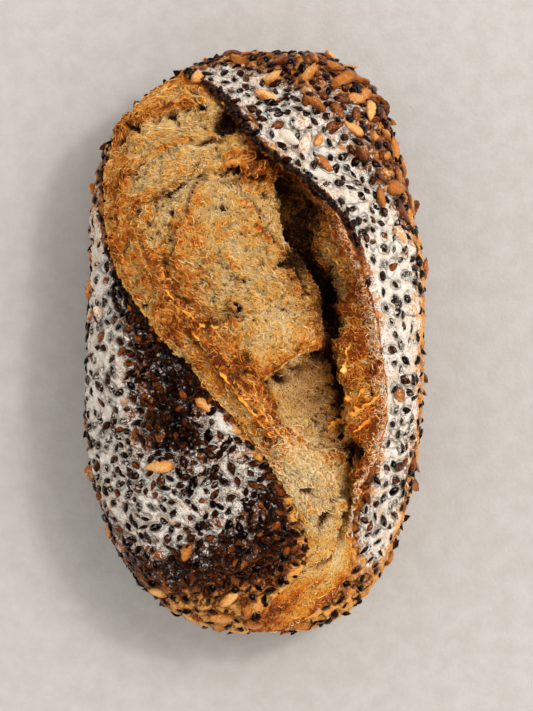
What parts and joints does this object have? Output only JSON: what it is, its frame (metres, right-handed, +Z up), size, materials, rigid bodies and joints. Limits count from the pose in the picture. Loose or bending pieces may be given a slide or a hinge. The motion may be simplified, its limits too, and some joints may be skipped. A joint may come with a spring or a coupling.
{
  "type": "seeded multigrain loaf",
  "caption": "Oval hearth loaf, crusted with linseeds and sunflower kernels and dusted with flour, burst open along one long slash that shows the torn crumb.",
  "frame": {"origin": "on the surface that the loaf stands on, under the middle of its box", "axes": "+Z up, +Y along the loaf towards the end where the slash runs out over the shoulder, +X across it towards the lifted lip of crust"},
  "size_m": [0.137, 0.236, 0.0879],
  "materials": {
    "crust": "baked crust, golden brown under flour and dark glossy linseeds, with pale toasted crumb in the burst slash"
  },
  "bodies": {
    "root": {"loaf": "crust"}
  },
  "joints": []
}
